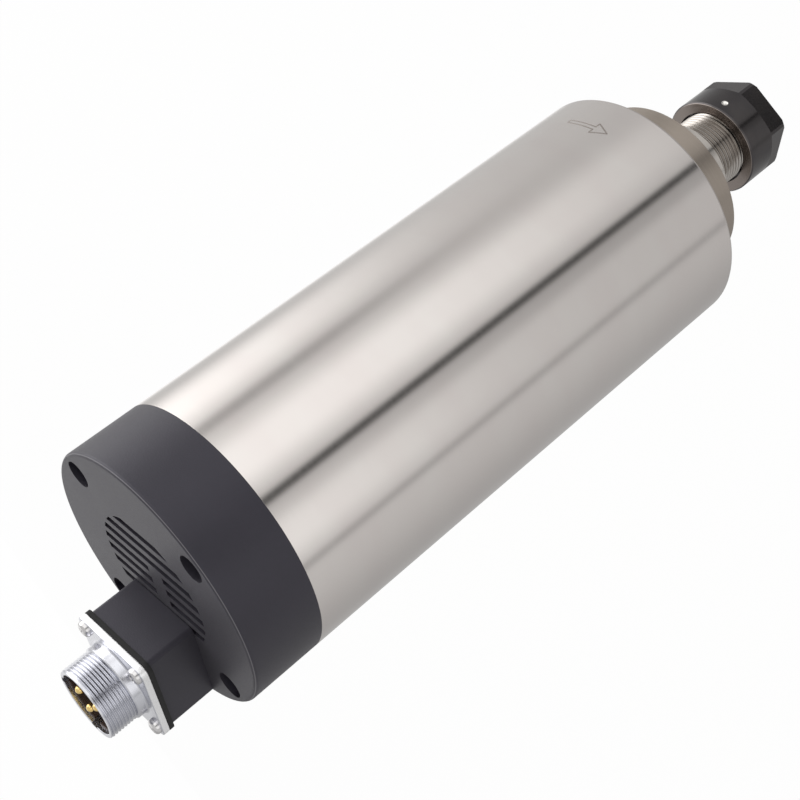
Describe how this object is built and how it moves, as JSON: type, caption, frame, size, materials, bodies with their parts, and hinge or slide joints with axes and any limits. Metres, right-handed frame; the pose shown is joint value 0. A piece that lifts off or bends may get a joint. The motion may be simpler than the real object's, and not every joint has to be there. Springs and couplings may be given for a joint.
{
  "type": "motor spindle",
  "caption": "Air-cooled motor spindle: cylindrical steel body, rear fan cap with a grille and a round connector on a box, threaded nose with a spring collet and its nut.",
  "frame": {"origin": "on the spindle axis, at the front edge of the steel body tube", "axes": "+Z along the spindle axis from the nose to the rear cap, so the tool points to -Z; the connector stands on the +Y side of the axis on the rear face"},
  "size_m": [0.08, 0.08, 0.2871],
  "materials": {
    "brushed_tube": "satin, brushed round the axis",
    "turned_aluminium": "as extruded and turned",
    "bell_metal": "turned, anodised warm grey",
    "cap_plastic": "fine matte grain",
    "shaft_steel": "ground",
    "black_steel": "black oxide, satin",
    "collet_steel": "ground bright",
    "bearing_steel": "ground and polished",
    "die_cast_nickel": "nickel plated",
    "gasket_rubber": "matte",
    "insert_plastic": "moulded, dark",
    "gold_contact": "gold plated",
    "lead_jacket": "soft, smooth",
    "core_steel": "stacked laminations, lacquered",
    "winding_copper": "lacquered copper wire",
    "fan_plastic": "moulded, black"
  },
  "bodies": {
    "housing": {"housing_tube": "brushed_tube", "finned_sleeve": "turned_aluminium", "bearing_housing": "bell_metal", "front_flange": "bell_metal", "front_flange_screws": "black_steel", "front_retainer": "bell_metal", "front_outer_rings": "bearing_steel", "outer_spacer": "bearing_steel", "rear_outer_ring": "bearing_steel", "disc_spring": "bearing_steel", "rear_bell": "turned_aluminium", "rear_cap": "cap_plastic", "cap_screws": "black_steel", "connector_box": "cap_plastic", "connector_gasket": "gasket_rubber", "connector_shell": "die_cast_nickel", "connector_insert": "insert_plastic", "contact_pins": "gold_contact", "connector_screws": "die_cast_nickel", "phase_leads": "lead_jacket", "stator_core": "core_steel", "stator_windings": "winding_copper"},
    "rotor": {"spindle_shaft": "shaft_steel", "dust_ring": "shaft_steel", "front_inner_rings": "bearing_steel", "inner_spacer": "bearing_steel", "bearing_lock_nut": "shaft_steel", "rotor_core": "core_steel", "rotor_end_rings": "turned_aluminium", "rear_inner_ring": "bearing_steel", "fan_spacer": "bearing_steel", "cooling_fan": "fan_plastic", "fan_circlip": "black_steel"},
    "collet": {"collet": "collet_steel"},
    "nut": {"collet_nut": "black_steel", "extractor_ring": "black_steel"}
  },
  "joints": [
    {"name": "spindle_spin", "type": "hinge", "parent": "housing", "child": "rotor", "pos_m": [0, 0, 0], "axis": [0, 0, 1], "continuous": true},
    {"name": "collet_draw", "type": "slide", "parent": "rotor", "child": "collet", "axis": [0, 0, -1], "range_m": [0, 0.007]},
    {"name": "nut_turn", "type": "hinge", "parent": "collet", "child": "nut", "pos_m": [0, 0, -0.05], "axis": [0, 0, -1], "range_deg": [0, 1680]}
  ],
  "couplings": [
    {"joint": "nut_turn", "follows": "collet_draw", "rad_per_m": 4188.8}
  ]
}
